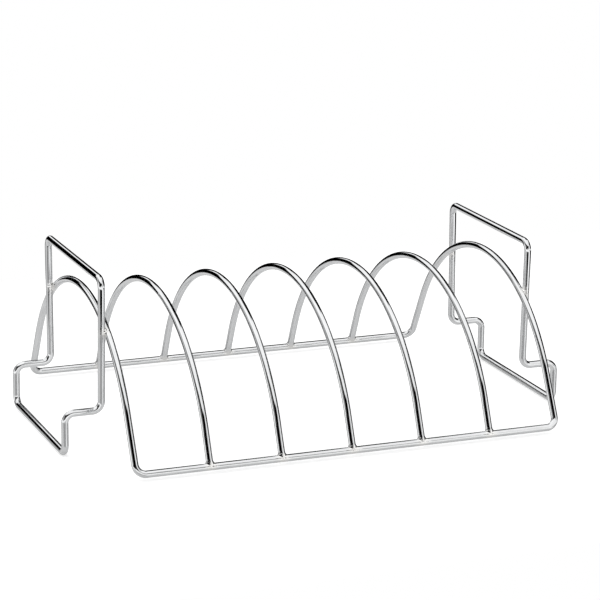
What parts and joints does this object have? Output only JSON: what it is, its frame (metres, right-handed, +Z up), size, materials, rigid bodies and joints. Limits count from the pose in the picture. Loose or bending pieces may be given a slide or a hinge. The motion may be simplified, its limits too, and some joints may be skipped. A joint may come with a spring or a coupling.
{
  "type": "grill rack",
  "caption": "Welded bright wire rack: round-topped arches between rails hold slabs upright, turned over they cradle a joint, and a handle loop with a stepped foot stands at either end.",
  "frame": {"origin": "centre of the footprint, on the surface that the foot bars stand on", "axes": "+X along the rails, +Y across them, +Z up"},
  "size_m": [0.3772, 0.255, 0.1262],
  "materials": {
    "bright_wire": "bright plated, smooth"
  },
  "bodies": {
    "root": {"perimeter_frame": "bright_wire", "inner_arch_1": "bright_wire", "inner_arch_2": "bright_wire", "inner_arch_3": "bright_wire", "inner_arch_4": "bright_wire", "inner_arch_5": "bright_wire", "left_handle": "bright_wire", "right_handle": "bright_wire"}
  },
  "joints": []
}
